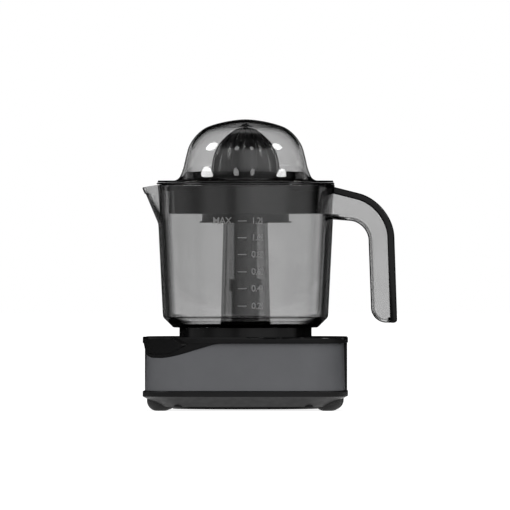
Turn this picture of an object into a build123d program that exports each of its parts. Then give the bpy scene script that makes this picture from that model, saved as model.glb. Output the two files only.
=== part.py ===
from build123d import *
import os
from math import acos, cos, pi, radians, sin, sqrt, tan

os.makedirs("parts", exist_ok=True)

# Sizes in mm. Everything is drawn about the drive axis, x = y = 0, standing on z = 0.
# The front is -Y, the spout is at -X and the handle at +X.

# Clearances
run = 0.08        # running fit of a shaft or slide
fit = 0.02        # parts pressed or screwed together
gap = 0.3         # pieces that lift off or move past each other

# Base plan: a rounded square with slightly bowed sides
base_width = 173.4
base_depth = 168.0
base_corner = 38.0
base_bow = 2.0
wall = 2.5

# Heights of the base, from the table up to the round seat of the jug
plinth_lift = 1.4
plinth_height = 2.2
taper_height = 8.6
rim_height = 4.7
panel_height = 40.7
deck_height = 5.0
seat_height = 8.6
plinth_z = plinth_lift
floor_z = plinth_z + plinth_height
floor_top = floor_z + wall
rim_z = floor_z + taper_height
panel_z = rim_z + rim_height
deck_z = panel_z + panel_height
deck_top = deck_z + deck_height
deck_under = deck_top - wall
seat_z = deck_top + seat_height
seat_under = seat_z - wall

# Underside
taper_in = 16.5
plinth_radius = base_depth / 2 - 22.0
plinth_width = 8.0
rim_round = 0.8
foot_radius = 11.5
foot_round = 8.5
vent_count = 4
vent_width = 2.4
vent_pitch = 5.0
vent_x = (22.0, 45.0)
vent_y = 12.0
foot_x = base_width / 2 - 15.7
foot_y = base_depth / 2 - 40.0

# Front panel and rear housing
panel_wall = 1.8
panel_in_low = 2.3
panel_in_high = 3.4
panel_end_y = 12.0
rear_in = 0.7

# Deck, its corner lip and the button in it
deck_round = 1.6
seat_round = 1.0
pedestal_radius = 56.2
lip_drop = 12.3
lip_flat = 14.0
lip_reach = 43.0
lip_in = 3.4
lip_depth = 9.5
lip_round_high = 22.0
lip_round_low = 55.0
scoop_depth = 5.5
scoop_flat = 13.0
scoop_reach = 38.5
scoop_floor = deck_z - 9.3
scoop_round = 25.0
button_top = 14.5
button_wide = 24.8
button_wide_z = deck_z - 2.3
button_depth = 12.0
button_travel = 2.0
button_round = 20.0
button_nick = 2.0
plunger_radius = 3.0
plunger_length = 9.0
plunger_drop = 4.0
power_switch_size = (18.0, 14.0, 14.0)

# Screws that close the base
screw_x = base_width / 2 - 31.7
screw_y = base_depth / 2 - 20.0
screw_boss = 5.0
screw_shank = 2.0
screw_head = 3.8
screw_bite = 14.0
screw_head_rise = 1.0
recess_depth = 1.2
recess_width = 0.9

# Gears: modules, teeth and faces, hung from the gear plate
slow_module = 1.25
fast_module = 0.8
output_teeth = 54
wheel_teeth = 60
pinion_teeth = 12
idler_angle = 120.0
rotor_angle = 190.0
plate_drop = 5.1
plate_wall = 2.0
plate_z = deck_z - plate_drop
output_width = 7.0
wheel_width = 5.0
output_low = plate_z - 8.7
wheel_low = plate_z - 17.5
output_face = (output_low, output_low + output_width)
wheel_face = (wheel_low, wheel_low + wheel_width)
fast_pinion_face = (wheel_face[0] - 1.0, wheel_face[1] + 1.0)
slow_pinion_top = output_face[1] + 0.4
backlash = 0.28
tooth_tip = 0.75
tooth_root = 1.0
pressure_angle = 20.0
gear_rim = 4.0
gear_hub = 5.0
gear_web = 1.5
gear_hole = 5.0
gear_hole_count = 6
wheel_rim = 3.0
wheel_hub = 4.0

# Gear plate
plate_reach = pedestal_radius - 12.2
plate_ear = 7.0
plate_screw_angles = (60.0, 180.0, 300.0)
post_radius = 4.5
plate_screw_shank = 1.6
plate_screw_head = 3.4
plate_screw_rise = 2.0
plate_screw_bite = 10.0
plate_idler_ear = 9.0
plate_bush_lip = 2.0
idler_pin_radius = 2.5
idler_pin_foot = wheel_face[0] - 11.0
idler_boss = 5.0

# Motor
stack_lift = 6.9
motor_room = 3.0
motor_bush_length = 4.0
stack_z = floor_top + stack_lift
stack_top = fast_pinion_face[0] - motor_bush_length - motor_room
stack_half = 23.0
stack_back = 19.0
stack_front = 48.0
stack_round = 3.0
leg_width = 11.0
yoke_width = 12.0
window_back = 17.0
rotor_radius = 12.6
air_gap = 0.4
rotor_shaft_radius = 2.5
motor_screw_x = 18.0
bridge_half = 6.0
bridge_wall = 2.0
motor_bush_radius = 5.0
bobbin_wall = 1.0
winding_depth = 5.0
winding_low = 0.5
coil_round = 0.8
motor_screw_rise = 2.4
rotor_end = 0.8
rotor_slots = 14
rotor_slot = (1.4, 1.0)

# Press mechanism under the shaft
press_travel = 3.0
cup_radius = 9.9
cup_lift = 13.9
cup_height = 7.5
cup_floor = 4.0
cup_z = floor_top + cup_lift
cup_top = cup_z + cup_height
guide_wall = 2.6
guide_top = cup_top + 3.5
finger_reach = 16.5
finger_width = 4.0
finger_z = cup_top - 3.1
spring_radius = 6.5
spring_wire = 1.4
spring_turns = 4.5
switch_x = 19.0
switch_length = 20.0
switch_width = 6.4
switch_height = 10.0
switch_z = finger_z - 6.2 - switch_height
switch_top = switch_z + switch_height
switch_ear = 1.6
switch_ear_rise = 1.4
lever_pivot = (switch_x + switch_length - 2.5, switch_top + 1.6)
lever_tip_x = finger_reach - 2.3
lever_wall = 0.6
lever_half = 1.6
lever_barrel = 1.0
lever_pin = 0.55

# Drive axis
shaft_radius = 4.0
shaft_foot = cup_z + cup_floor
tower_height = 35.3
tower_radius = 12.0
tower_top = seat_z + tower_height
tower_flange = tower_radius + 6.0
tower_room = 1.2
tower_cone = 1.5
tower_round = 0.6
hex_z = tower_top + 1.5
hex_across = 6.6
hex_length = 22.0
hex_chamfer = 0.8
shaft_top = hex_z + hex_length
shaft_round = 1.0
spigot_radius = 9.9
bush_radius = 7.0
bush_length = 10.0
seal_radius = 8.5
seal_length = 2.5
seal_lip = 0.8
seal_throat = 1.5
clip_wall = 1.0
clip_groove = 0.6
clip_ear = 2.2
clip_mouth = 3.2

# Jug, standing over the seat
jug_under = seat_z + gap
jug_height = 120.4
jug_wall = 2.6
jug_floor = 3.0
jug_rim_z = jug_under + jug_height
jug_rim_radius = 75.0
jug_waist_radius = jug_rim_radius - 4.7
jug_waist_z = jug_under + 7.5
jug_foot_ring = 4.1
jug_foot_gap = 1.0
jug_foot_radius = pedestal_radius + jug_foot_gap + jug_foot_ring
jug_foot_lip = 1.1
jug_foot_round = 1.5
jug_waist_round = 5.0
jug_rim_round = 0.8
chamfer_draw = 0.4
column_wall = 2.0
column_foot_radius = tower_flange + 1.3 + column_wall
column_top_radius = column_foot_radius - 2.7
column_top = jug_rim_z - 19.9
spout_reach = 12.8
spout_height = 28.5
spout_tip = jug_rim_radius + spout_reach
spout_top = jug_rim_z - 1.4
spout_foot = spout_top - spout_height
spout_wall = 2.2
spout_nose = (3.0, 4.5)
spout_cheek = (6.0, 19.0)
spout_root = (9.0, 12.0)
spout_out = 0.2

# Handle
handle_width = 25.0
handle_wall = 2.0
handle_stand = 53.9
handle_length = 113.3
strip_wall = 5.7
handle_reach = jug_rim_radius + handle_stand
handle_top_z = jug_rim_z - 4.2
handle_bend_z = handle_top_z - 12.8
handle_foot = handle_top_z - handle_length
handle_round = 4.0
strip_round = 1.2
handle_root = 3.0
handle_lean = 3.4
handle_bend = 37.0
grip_top_z = handle_top_z - 25.3
grip_bend_at = (handle_reach - 24.7, grip_top_z - 2.5)
grip_bend = 17.0
grip_foot_x = handle_reach - 21.6
grip_foot_bend = 13.0
grip_edge = (handle_reach - 12.9, grip_top_z + 2.6)

# Juice tray, hung in the jug's rim
tray_flange_wall = 1.7
tray_flange_radius = jug_rim_radius + 0.6
tray_flange_top = jug_rim_z + tray_flange_wall
tray_wall = 2.2
tray_depth = 24.8
collar_top_radius = jug_rim_radius - 7.0
collar_foot_radius = collar_top_radius - 1.0
collar_foot = jug_rim_z - tray_depth
skirt_foot = jug_rim_z - 5.4
skirt_wall = 2.0
skirt_cut_top = jug_rim_z - 2.0
skirt_cut_half = 38.0
skirt_cut_slope = 5.0
skirt_spout_half = 16.0
tray_step = 1.0
tray_round = 0.6
ledge_z = tray_flange_top - 1.6
ledge_width = 1.8
outlet_radius = 37.0
outlet_wall = 1.1
outlet_height = 7.6
outlet_foot = collar_foot - outlet_height
outlet_lip = 2.0
outlet_lip_wall = 1.2

# Strainer basket, standing in the tray and over the jug's column
basket_radius = 50.0
basket_height = 8.9
basket_top = tray_flange_top + basket_height
basket_wall = 2.0
basket_round = 0.8
throat_radius = outlet_radius - outlet_wall - 0.8
throat_top = collar_foot + 2.9
basket_floor = outlet_foot + 0.7
hub_wall = 2.0
hub_in = column_top_radius + 2 * gap
hub_top = column_top + 1.5 + hub_wall
chimney_wall = 2.0
chimney_height = 20.0
chimney_top = hub_top + chimney_height
slot_count = 24
slot_width = 1.8
slot_in = hub_in + hub_wall + 2.3
slot_out = throat_radius - basket_wall - 1.1
funnel_rise = 4.0

# Drive stem, its bush and the cone
stem_radius = 10.0
collar_wall = 1.4
collar_round = 0.5
collar_radius = tower_radius + 2 * gap + collar_wall
collar_z = tower_top - 5.3
collar_roof = hex_z + 2.2
collar_top = collar_roof + 1.5
stem_bore = 6.5
socket_top = shaft_top + 2.0
stem_bore_z = socket_top + 4.0
stem_bush_wall = 1.55
stem_bush_length = 15.0
stem_bush_top = chimney_top + press_travel + 0.5
stem_bush_foot = stem_bush_top - stem_bush_length
stem_bush_lip = 1.2
stem_bush_lip_radius = stem_radius + 3.5
key_width = 2.0
key_depth = 1.0
stem_groove = 0.8
stem_clip_ear = 1.2
stem_clip_mouth = 6.0
flat_half = 8.5
flat_z = stem_bush_top + 4.0
cone_foot = basket_top - press_travel
cone_height = 44.8
cone_radius = 29.2
cone_tip = cone_foot + cone_height
cone_wall = 2.2
cone_hub_wall = 2.6
cone_flank = ((1.0, 0.0), (0.9, 0.4), (0.6, 0.725), (0.32, 0.88))
stem_top = cone_tip - 14.3
rib_count = 16
rib_width = 1.6
rib_height = 1.4
rib_start = 6.5

# Dust cover
cover_wall = 2.0
cover_clear = 3.0
cover_top = cone_tip + cover_clear
cover_crown = 79.0
cover_lean = 0.27
cover_foot_radius = basket_radius + 5.5
cover_shoulder = 16.0
cover_flare = 8.0
cover_lip = 1.6
cover_lip_round = 0.5
cover_flange_radius = tray_flange_radius - 0.9
cover_lift_gap = 0.1

# Cord inlet
gland_z = floor_top + 20.9
gland_bore = 3.6
gland_radius = 6.0
gland_flange = 8.5
gland_lip = 1.2
gland_round = 0.6
gland_catch = 1.5

# Worked out from the sizes above
slow_distance = slow_module * (output_teeth + pinion_teeth) / 2
fast_distance = fast_module * (wheel_teeth + pinion_teeth) / 2
idler_x = slow_distance * cos(radians(idler_angle))
idler_y = slow_distance * sin(radians(idler_angle))
rotor_x = idler_x + fast_distance * cos(radians(rotor_angle))
rotor_y = idler_y + fast_distance * sin(radians(rotor_angle))
guide_radius = cup_radius + run
chimney_radius = stem_radius + run + stem_bush_wall + run
to_frame = Pos((spout_tip - handle_reach) / 2, 0, 0)
corner_plane = Plane(
    origin=(base_corner - base_width / 2, base_corner - base_depth / 2, 0),
    x_dir=(1, -1, 0),
    z_dir=(-1, -1, 0),
)
big = 400.0


def plan(inset):
    """Outline of the base, drawn in by inset."""
    x = base_width / 2 - inset
    y = base_depth / 2 - inset
    cx = x - base_bow
    cy = y - base_bow
    sides = [
        ThreePointArc((-cx, -cy), (0, -y), (cx, -cy)),
        ThreePointArc((cx, -cy), (x, 0), (cx, cy)),
        ThreePointArc((cx, cy), (0, y), (-cx, cy)),
        ThreePointArc((-cx, cy), (-x, 0), (-cx, -cy)),
    ]
    return fillet(make_face(sides).vertices(), base_corner - inset)


def block(inset, low, high):
    """Upright prism of the base outline."""
    return extrude(Pos(0, 0, low) * plan(inset), high - low)


def frustum(inset_low, low, inset_high, high):
    """Base outline that draws in or spreads out with height."""
    return loft([Pos(0, 0, low) * plan(inset_low), Pos(0, 0, high) * plan(inset_high)], ruled=True)


def rod(radius, low, high, at=(0, 0)):
    """Upright cylinder between two heights."""
    return Pos(*at, low) * Cylinder(radius, high - low, align=(Align.CENTER, Align.CENTER, Align.MIN))


def tube(inner, outer, low, high, at=(0, 0)):
    """Upright ring between two heights."""
    return rod(outer, low, high, at) - rod(inner, low - 1, high + 1, at)


def box(x, y, z):
    """Box between pairs of limits."""
    size = Box(x[1] - x[0], y[1] - y[0], z[1] - z[0])
    return Pos(sum(x) / 2, sum(y) / 2, sum(z) / 2) * size


def turned(points, radii=0):
    """Solid turned about the drive axis from a closed outline of (radius, height) points."""
    outline = FilletPolyline(*points, radius=radii, close=True) if radii else Polyline(*points, close=True)
    return revolve(Plane.XZ * make_face(outline), Axis.Z)


def corner_prism(outline):
    """Prism through the front left corner, along its diagonal."""
    return extrude(corner_plane.offset(-lip_depth - gap) * outline, big)


def around(count, piece):
    """Copies of a piece evenly spaced about the drive axis."""
    return [Rot(0, 0, 360 * i / count) * piece for i in range(count)]


def lip_outline(drop):
    """Dip of the deck lip, as seen along the corner diagonal, lowered by drop."""
    low = deck_z - lip_drop - drop
    high = deck_z - drop
    roof = deck_top + 20
    end = lip_reach + 20
    half = [(lip_flat, low), (lip_reach, high), (end, high), (end, roof)]
    points = half + [(-x, z) for x, z in reversed(half)]
    rounds = [lip_round_low, lip_round_high, 0, 0]
    return make_face(FilletPolyline(*points, radius=rounds + rounds[::-1], close=True))


def scoop_outline():
    """Finger scoop on both sides of the button."""
    slope = (deck_top - scoop_floor) / (scoop_reach - scoop_flat)
    roof = deck_top + 10
    reach = scoop_flat + (roof - scoop_floor) / slope
    points = [(-reach, roof), (-scoop_flat, scoop_floor), (scoop_flat, scoop_floor), (reach, roof)]
    return make_face(FilletPolyline(*points, radius=[0, scoop_round, scoop_round, 0], close=True))


def button_outline(grow):
    """Shield shape of the button, grown by the clearance of its pocket."""
    low = scoop_floor + gap - grow
    top = deck_top + 2 * grow
    half = [(scoop_flat, low), (button_wide + grow, button_wide_z), (button_top + grow, top)]
    points = half + [(-x, z) for x, z in reversed(half)]
    rounds = [button_round, button_nick, 0]
    return make_face(FilletPolyline(*points, radius=rounds + rounds[::-1], close=True))


def lip_body():
    """Flared outside of the deck lip, filled."""
    low = deck_z - lip_drop - gap
    return frustum(lip_in, low, 0, deck_top - deck_round) + block(0, deck_top - deck_round, deck_top)


def taper():
    """Drawn-in underside of the base, filled."""
    return frustum(taper_in, floor_z, 0, rim_z)


def gear(module, teeth, low, high, turn):
    """Spur gear with stub involute teeth, one of them centred on the angle turn."""
    pitch = module * teeth / 2
    tip = pitch + tooth_tip * module
    root = pitch - tooth_root * module
    base = pitch * cos(radians(pressure_angle))
    start = max(base, root)
    half = (pi * module / 2 - backlash) / 2 / pitch

    def spot(radius, side, tooth):
        angle = acos(min(1.0, base / radius))
        involute = tan(radians(pressure_angle)) - radians(pressure_angle) - tan(angle) + angle
        bearing = radians(turn) + 2 * pi * tooth / teeth + side * (half + involute)
        return (radius * cos(bearing), radius * sin(bearing))

    def on_circle(radius, tooth):
        bearing = radians(turn) + 2 * pi * tooth / teeth
        return (radius * cos(bearing), radius * sin(bearing))

    edges = []
    for tooth in range(teeth):
        rise = spot(start, -1, tooth)
        fall = spot(start, 1, tooth)
        foot = tuple(c * root / start for c in rise)
        end = tuple(c * root / start for c in fall)
        following = tuple(c * root / start for c in spot(start, -1, tooth + 1))
        if start > root:
            edges.append(Line(foot, rise))
        middle = (start + tip) / 2
        edges.append(ThreePointArc(rise, spot(middle, -1, tooth), spot(tip, -1, tooth)))
        edges.append(ThreePointArc(spot(tip, -1, tooth), on_circle(tip, tooth), spot(tip, 1, tooth)))
        edges.append(ThreePointArc(spot(tip, 1, tooth), spot(middle, 1, tooth), fall))
        if start > root:
            edges.append(Line(fall, end))
        edges.append(ThreePointArc(end, on_circle(root, tooth + 0.5), following))
    return extrude(Pos(0, 0, low) * make_face(edges), high - low)


# Base

def bottom_cover():
    rim = block(0, rim_z, panel_z)
    shell = taper() + fillet(rim.edges().group_by(Axis.Z)[-1], rim_round)
    shell -= frustum(taper_in + wall, floor_top, wall, rim_z + wall / 2)
    shell -= block(wall, rim_z + wall / 2 - fit, panel_z + 1)
    shell += tube(plinth_radius - plinth_width, plinth_radius, plinth_z, floor_z)
    shell += tube(guide_radius, guide_radius + guide_wall, floor_top - fit, guide_top)
    slot = finger_width / 2 + gap
    shell -= box((0, 2 * guide_radius), (-slot, slot), (cup_z - press_travel, guide_top + 1))
    shell += rod(idler_boss, floor_top - fit, wheel_face[0] - 2 * gap, (idler_x, idler_y))
    shell -= rod(idler_pin_radius + fit, idler_pin_foot, plate_z, (idler_x, idler_y))
    bush_foot = stack_z - bridge_wall - motor_bush_length
    shell += rod(motor_bush_radius, floor_top - fit, bush_foot, (rotor_x, rotor_y))
    for side in (-1, 1):
        at = (rotor_x + side * motor_screw_x, rotor_y)
        shell += rod(screw_boss, floor_top - fit, stack_z - bridge_wall, at)
        shell -= rod(screw_shank, floor_top, stack_z, at)
    pad_end = switch_x + switch_length
    shell += box((switch_x, pad_end), (-switch_width / 2, switch_width / 2), (floor_top - fit, switch_z))
    for at in screw_spots():
        shell += rod(screw_boss, floor_top - fit, panel_z, at)
        shell -= rod(screw_shank + gap, floor_z - 1, panel_z + 1, at)
        shell -= rod(screw_head + gap, floor_z - 1, floor_top + screw_head_rise, at)
    for slot in vents():
        shell -= slot
    return shell


def vents():
    """Rows of slots in the floor that let the motor breathe."""
    slots = []
    for row in range(vent_count):
        low = -vent_y - row * vent_pitch - vent_width
        for side in (-1, 1):
            x = sorted(side * edge for edge in vent_x)
            slots.append(box(x, (low, low + vent_width), (0, floor_top + 1)))
    return slots


def screw_spots():
    """Places of the four screws that close the base."""
    return [(sx * screw_x, sy * screw_y) for sx in (-1, 1) for sy in (-1, 1)]


def rubber_feet():
    foot = rod(foot_radius, 0, rim_z)
    foot = fillet(foot.edges().group_by(Axis.Z)[0], foot_round)
    return [Pos(sx * foot_x, sy * foot_y, 0) * foot - taper() for sx in (-1, 1) for sy in (-1, 1)]


def cross(radius, top, at):
    """Cross recess in a screw head, down from its face."""
    bar = Box(1.3 * radius, recess_width, 2 * recess_depth)
    return Pos(*at, top) * (bar + Rot(0, 0, 90) * bar)


def housing_screws():
    screws = []
    for at in screw_spots():
        neck = floor_top + screw_head_rise
        head = rod(screw_head, floor_z, neck, at)
        head -= cross(screw_head, floor_z, at)
        screws.append(head + rod(screw_shank, neck, panel_z + gap + screw_bite, at))
    return screws


def body_shell():
    recess_low = panel_in_low + panel_wall + fit
    recess_high = panel_in_high + panel_wall + fit
    behind = box((-big, big), (panel_end_y, big), (0, big))
    inside = box((-big, big), (panel_end_y + wall, big), (0, big))
    shell = frustum(recess_low, panel_z, recess_high, deck_z) + (block(rear_in, panel_z, deck_z) & behind)
    shell -= frustum(recess_low + wall, panel_z, recess_high + wall, deck_z)
    shell -= block(rear_in + wall, panel_z, deck_z) & inside
    shell -= corner_prism(lip_outline(gap))
    for at in screw_spots():
        boss = rod(screw_boss, panel_z + gap, deck_under, at)
        boss -= rod(screw_shank, panel_z, panel_z + gap + screw_bite, at)
        side = (at[0] - wall / 2, at[0] + wall / 2)
        web = box(side, sorted((at[1], at[1] * big)), (panel_z + gap, deck_z))
        web -= rod(screw_boss - fit, panel_z, deck_z, at)
        if at[1] > 0:
            web &= block(rear_in + wall / 2, panel_z, deck_z)
        else:
            web &= frustum(recess_low + wall / 2, panel_z, recess_high + wall / 2, deck_z)
        shell += boss + web
    inlet = Pos(0, base_depth / 2, gland_z) * Rot(90, 0, 0) * Cylinder(gland_radius + fit, 20)
    return shell - corner_prism(lip_outline(gap)) - inlet


def wrap_panel():
    panel = frustum(panel_in_low, panel_z + gap, panel_in_high, deck_z - gap)
    panel -= frustum(panel_in_low + panel_wall, panel_z, panel_in_high + panel_wall, deck_z)
    panel &= box((-big, big), (-big, panel_end_y - gap), (0, big))
    return panel - corner_prism(lip_outline(gap))


def top_cover():
    deck = block(0, deck_z, deck_top)
    deck = fillet(deck.edges().group_by(Axis.Z)[-1], deck_round)
    deck -= block(wall, deck_z - 1, deck_under)
    lip = lip_body() - block(lip_depth, 0, big)
    cover = deck + (lip & corner_prism(lip_outline(0)))
    seat = rod(pedestal_radius, deck_under, seat_z)
    cover += fillet(seat.edges().group_by(Axis.Z)[-1], seat_round)
    cover -= rod(pedestal_radius - wall, deck_under - 1, seat_under)
    cover -= rod(spigot_radius + fit, seat_under - 1, seat_z + 1)
    cover -= corner_prism(scoop_outline()) - block(scoop_depth, 0, big)
    cover -= corner_prism(button_outline(gap)) - block(button_depth + button_travel + gap, 0, big)
    for at in plate_screw_spots():
        cover += rod(post_radius, plate_z + plate_wall, seat_under + fit, at)
        cover -= rod(plate_screw_shank, plate_z, plate_z + plate_wall + plate_screw_bite, at)
    return cover


def power_button():
    inner = block(button_depth, 0, big)
    button = (lip_body() & corner_prism(button_outline(0))) - inner
    back = base_corner - button_depth
    height = button_wide_z - plunger_drop
    stem = corner_plane.offset(back - plunger_length) * Pos(0, height) * Circle(plunger_radius)
    return button + extrude(stem, plunger_length + wall)


def power_switch():
    """Hung under the deck, with a bore that takes the plunger."""
    width, depth, height = power_switch_size
    face = base_corner - base_bow - button_depth - plunger_length / 2
    case = corner_plane.offset(face - depth) * Pos(0, deck_under - height / 2) * Rectangle(width, height)
    bore = corner_plane.offset(face - plunger_length) * Pos(0, button_wide_z - plunger_drop)
    return extrude(case, depth) - extrude(bore * Circle(plunger_radius + gap), plunger_length + 1)


def cord_gland():
    back = base_depth / 2 - rear_in
    inner = back - wall - 2 * fit
    catch = gland_radius + gland_catch
    points = [
        (gland_bore, inner - wall), (catch, inner - wall), (catch, inner), (gland_radius, inner),
        (gland_radius, back), (gland_flange, back), (gland_flange, back + gland_lip),
        (gland_bore, back + gland_lip),
    ]
    rounds = [gland_round if i == 6 else 0 for i in range(8)]
    gland = revolve(make_face(FilletPolyline(*points, radius=rounds, close=True)), Axis.Y)
    return Pos(0, 0, gland_z) * gland


# Tower and gear plate

def shaft_tower():
    bore = shaft_radius + tower_room
    foot = plate_z + plate_wall + tower_room
    bush_top = tower_top - seal_length
    return turned([
        (bore, foot), (spigot_radius, foot), (spigot_radius, seat_z), (tower_flange, seat_z),
        (tower_flange, seat_z + wall), (tower_radius, seat_z + wall + tower_cone), (tower_radius, tower_top),
        (seal_radius, tower_top), (seal_radius, bush_top), (bush_radius, bush_top),
        (bush_radius, bush_top - bush_length), (bore, bush_top - bush_length),
    ], [tower_round if i in (4, 6) else 0 for i in range(12)])


def tower_bush():
    top = tower_top - seal_length
    return tube(shaft_radius + run, bush_radius - fit, top - bush_length, top)


def tower_seal():
    foot = tower_top - seal_length
    lip = shaft_radius + gap
    return turned([
        (lip, tower_top - seal_lip), (shaft_radius + seal_throat, foot), (seal_radius - fit, foot),
        (seal_radius - fit, tower_top), (lip, tower_top),
    ])


def plate_screw_spots():
    """Places of the screws that hold the gear plate to the deck."""
    return [(plate_reach * cos(radians(a)), plate_reach * sin(radians(a))) for a in plate_screw_angles]


def gear_plate():
    rounds = [Pos(*at) * Circle(plate_ear) for at in plate_screw_spots()]
    rounds.append(Pos(idler_x, idler_y) * Circle(plate_idler_ear))
    outline = make_hull([edge for r in rounds for edge in r.edges()])
    plate = extrude(Pos(0, 0, plate_z) * outline, plate_wall)
    plate -= rod(bush_radius, 0, big)
    plate -= rod(idler_pin_radius + fit, 0, big, (idler_x, idler_y))
    for at in plate_screw_spots():
        plate -= rod(plate_screw_shank + fit, 0, big, at)
    for hole in around(3, rod(plate_ear, 0, big, (-plate_reach / 2, 0))):
        plate -= hole
    return plate


def plate_bush():
    top = plate_z + plate_wall
    bore = shaft_radius + run
    lip = tube(bore, bush_radius + plate_bush_lip, top, top + plate_bush_lip / 2)
    return tube(bore, bush_radius - fit, plate_z, top) + lip


def gear_plate_screws():
    return [
        rod(plate_screw_head, plate_z - plate_screw_rise, plate_z, at)
        + rod(plate_screw_shank - fit, plate_z, plate_z + plate_wall + plate_screw_bite - 2, at)
        - cross(plate_screw_head, plate_z - plate_screw_rise, at)
        for at in plate_screw_spots()
    ]


# Spindle

def output_shaft():
    shaft = rod(shaft_radius, shaft_foot + gap, hex_z)
    shaft = fillet(shaft.edges().group_by(Axis.Z)[0], shaft_round)
    hexagon = Pos(0, 0, hex_z) * RegularPolygon(hex_across / 2, 6, major_radius=False)
    tip = extrude(hexagon, shaft_top - hex_z)
    shaft += chamfer(tip.edges().group_by(Axis.Z)[-1], hex_chamfer)
    groove = plate_z - gap - clip_wall
    return shaft - tube(shaft_radius - clip_groove, shaft_radius + 1, groove, groove + clip_wall)


def output_gear():
    low, high = output_face
    blank = gear(slow_module, output_teeth, low, high, idler_angle)
    rim = slow_module * output_teeth / 2 - gear_rim
    hub = shaft_radius + gear_hub
    for face in (low, high):
        blank -= tube(hub, rim, face - gear_web, face + gear_web)
    for hole in around(gear_hole_count, rod(gear_hole, 0, big, ((rim + hub) / 2, 0))):
        blank -= hole
    return blank - rod(shaft_radius + fit, low - 1, high + 1)


def shaft_clip():
    low = plate_z - gap - clip_wall + fit
    ring = tube(shaft_radius - clip_groove + fit, shaft_radius + clip_ear, low, low + clip_wall - 2 * fit)
    return ring - box((0, big), (-clip_mouth / 2, clip_mouth / 2), (0, big))


# Idler

def idler_gear():
    wheel = gear(fast_module, wheel_teeth, *wheel_face, rotor_angle)
    pinion_turn = idler_angle + 180 + 180 / pinion_teeth
    pinion = gear(slow_module, pinion_teeth, wheel_face[1], slow_pinion_top, pinion_turn)
    hub = rod(idler_boss, wheel_face[0] - gap, wheel_face[0])
    rim = fast_module * wheel_teeth / 2 - wheel_rim
    web = tube(idler_boss + wheel_hub, rim, wheel_face[0] - 1, wheel_face[0] + gear_web)
    whole = wheel - web + pinion + hub
    return Pos(idler_x, idler_y) * (whole - rod(idler_pin_radius + run, 0, big))


def idler_pin():
    return rod(idler_pin_radius, idler_pin_foot, plate_z + plate_wall, (idler_x, idler_y))


# Motor, drawn about the rotor axis

def motor_laminations():
    outer = Pos(0, (stack_back - stack_front) / 2) * Rectangle(2 * stack_half, stack_back + stack_front)
    outer = fillet(outer.vertices(), stack_round)
    window_low = yoke_width - stack_front
    window = Pos(0, (window_low - window_back) / 2) * Rectangle(
        2 * (stack_half - leg_width), -window_back - window_low)
    face = outer - window - Circle(rotor_radius + air_gap)
    for side in (-1, 1):
        face -= Pos(side * motor_screw_x, 0) * Circle(screw_shank + fit)
    return Pos(rotor_x, rotor_y, stack_z) * extrude(face, stack_top - stack_z)


def coil_form(inner, outer, half):
    """Square sleeve round the motor yoke."""
    y = (-stack_front, yoke_width - stack_front)
    z = (stack_z, stack_top)
    sleeve = box((-half, half), (y[0] - outer, y[1] + outer), (z[0] - outer, z[1] + outer))
    sleeve = fillet(sleeve.edges().filter_by(Axis.X), max(outer - inner, coil_round))
    sleeve -= box((-big, big), (y[0] - inner, y[1] + inner), (z[0] - inner, z[1] + inner))
    return Pos(rotor_x, rotor_y) * sleeve


def coil_half():
    """Half length of the bobbin in the stack's window."""
    return stack_half - leg_width - gap


def coil_bobbin():
    half = coil_half()
    sleeve = coil_form(fit, bobbin_wall, half)
    flange = coil_form(fit, winding_depth + bobbin_wall, bobbin_wall / 2)
    for side in (-1, 1):
        sleeve += Pos(side * (half - bobbin_wall / 2), 0) * flange
    return sleeve


def coil_winding():
    outer = winding_depth + bobbin_wall - winding_low
    return coil_form(bobbin_wall + fit, outer, coil_half() - bobbin_wall - fit)


def motor_bridges():
    bridges = []
    for low in (stack_z - bridge_wall, stack_top):
        strip = extrude(SlotOverall(2 * stack_half, 2 * bridge_half), bridge_wall)
        strip -= rod(motor_bush_radius, -big, big)
        for side in (-1, 1):
            strip -= rod(screw_shank + fit, -big, big, (side * motor_screw_x, 0))
        bridges.append(Pos(rotor_x, rotor_y, low) * strip)
    return bridges


def motor_bushes():
    at = (rotor_x, rotor_y)
    inner = rotor_shaft_radius + run
    low = stack_z
    high = stack_top
    return [
        tube(inner, motor_bush_radius - fit, low - motor_bush_length, low, at),
        tube(inner, motor_bush_radius - fit, high, high + motor_bush_length, at),
    ]


def motor_screws():
    top = stack_top + bridge_wall
    spots = [(rotor_x + side * motor_screw_x, rotor_y) for side in (-1, 1)]
    return [
        rod(screw_head, top, top + motor_screw_rise, at) + rod(screw_shank - fit, floor_top + gap, top, at)
        - cross(screw_head, top + motor_screw_rise, at)
        for at in spots
    ]


def rotor_core():
    core = rod(rotor_radius, stack_z + rotor_end, stack_top - rotor_end)
    for slot in around(rotor_slots, Pos(rotor_radius, 0) * Box(*rotor_slot, big)):
        core -= slot
    return Pos(rotor_x, rotor_y) * (core - rod(rotor_shaft_radius + fit, 0, big))


def rotor_shaft():
    foot = stack_z - bridge_wall - motor_bush_length + gap
    return rod(rotor_shaft_radius, foot, fast_pinion_face[1] + 1, (rotor_x, rotor_y))


def motor_pinion():
    turn = rotor_angle + 180 + 180 / pinion_teeth
    pinion = gear(fast_module, pinion_teeth, *fast_pinion_face, turn)
    return Pos(rotor_x, rotor_y) * (pinion - rod(rotor_shaft_radius + fit, 0, big))


# Press mechanism

def thrust_cup():
    cup = rod(cup_radius, cup_z, cup_top)
    cup -= rod(shaft_radius + gap, shaft_foot, cup_top + 1)
    finger = box((shaft_radius + 1, finger_reach), (-finger_width / 2, finger_width / 2), (finger_z, cup_top))
    return cup + finger


def return_spring():
    foot = floor_top + spring_wire / 2
    height = cup_z - floor_top - spring_wire
    path = Helix(height / spring_turns, height, spring_radius)
    start = Plane(origin=path @ 0, z_dir=path % 0)
    return Pos(0, 0, foot) * sweep(start * Circle(spring_wire / 2), path=path)


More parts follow.
